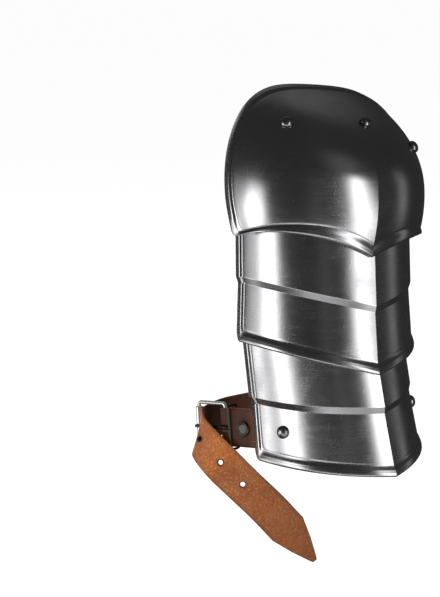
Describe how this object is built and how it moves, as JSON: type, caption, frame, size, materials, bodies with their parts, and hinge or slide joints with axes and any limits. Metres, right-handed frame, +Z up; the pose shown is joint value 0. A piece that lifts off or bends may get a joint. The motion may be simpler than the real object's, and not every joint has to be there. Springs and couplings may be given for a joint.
{
  "type": "pauldron",
  "caption": "Steel shoulder defence with a domed cop and articulated lames riveted to leathers, with buckled arm and shoulder straps.",
  "frame": {"origin": "inside of the cop's crown, where the pauldron sits on the wearer's shoulder", "axes": "+Z up, the ridge faces -Y, the open side toward the wearer faces +Y, and the arm strap's buckle is at -X"},
  "size_m": [0.1894, 0.1905, 0.3957],
  "materials": {
    "polished_steel": "polished with fine scratches",
    "dark_rivet_steel": "satin",
    "zinc_washer": "satin",
    "black_leather": "satin",
    "brown_leather": "semi-gloss grain side",
    "nickel_wire": "nickel plated"
  },
  "bodies": {
    "pauldron": {"shoulder_cop": "polished_steel", "upper_lame": "polished_steel", "lower_lame": "polished_steel", "leather_left": "black_leather", "leather_middle": "black_leather", "leather_right": "black_leather", "shoulder_strap": "brown_leather", "arm_strap": "brown_leather", "arm_buckle_frame": "nickel_wire", "arm_buckle_roller": "nickel_wire", "arm_buckle_prong": "nickel_wire", "arm_keeper": "nickel_wire", "cop_rivet_left": "dark_rivet_steel", "cop_washer_left": "zinc_washer", "cop_rivet_middle": "dark_rivet_steel", "cop_washer_middle": "zinc_washer", "cop_rivet_right": "dark_rivet_steel", "cop_washer_right": "zinc_washer", "upper_rivet_left": "dark_rivet_steel", "upper_washer_left": "zinc_washer", "upper_rivet_middle": "dark_rivet_steel", "upper_washer_middle": "zinc_washer", "upper_rivet_right": "dark_rivet_steel", "upper_washer_right": "zinc_washer", "lower_rivet_left": "dark_rivet_steel", "lower_washer_left": "zinc_washer", "lower_rivet_middle": "dark_rivet_steel", "lower_washer_middle": "zinc_washer", "lower_rivet_right": "dark_rivet_steel", "lower_washer_right": "zinc_washer", "arm_rivet_left": "dark_rivet_steel", "arm_washer_left": "zinc_washer", "arm_rivet_right": "dark_rivet_steel", "arm_washer_right": "zinc_washer", "arm_fold_rivet": "nickel_wire", "arm_fold_washer": "zinc_washer"},
    "shoulder_buckle": {"shoulder_buckle_frame": "nickel_wire"},
    "shoulder_prong": {"shoulder_buckle_prong": "nickel_wire"},
    "shoulder_roller": {"shoulder_buckle_roller": "nickel_wire"}
  },
  "joints": [
    {"name": "shoulder_buckle_hinge", "type": "hinge", "parent": "pauldron", "child": "shoulder_buckle", "pos_m": [0.02215, 0.00347, -0.01148], "axis": [-0.9035, 0.3047, 0.3015], "range_deg": [-1, 55]},
    {"name": "shoulder_prong_hinge", "type": "hinge", "parent": "shoulder_buckle", "child": "shoulder_prong", "pos_m": [0.02215, 0.00347, -0.01148], "axis": [-0.9035, 0.3047, 0.3015], "range_deg": [0, 70]},
    {"name": "shoulder_roller_spin", "type": "hinge", "parent": "shoulder_buckle", "child": "shoulder_roller", "pos_m": [0.03316, 0.02579, -0.00102], "axis": [0.9035, -0.3047, -0.3015], "continuous": true}
  ]
}
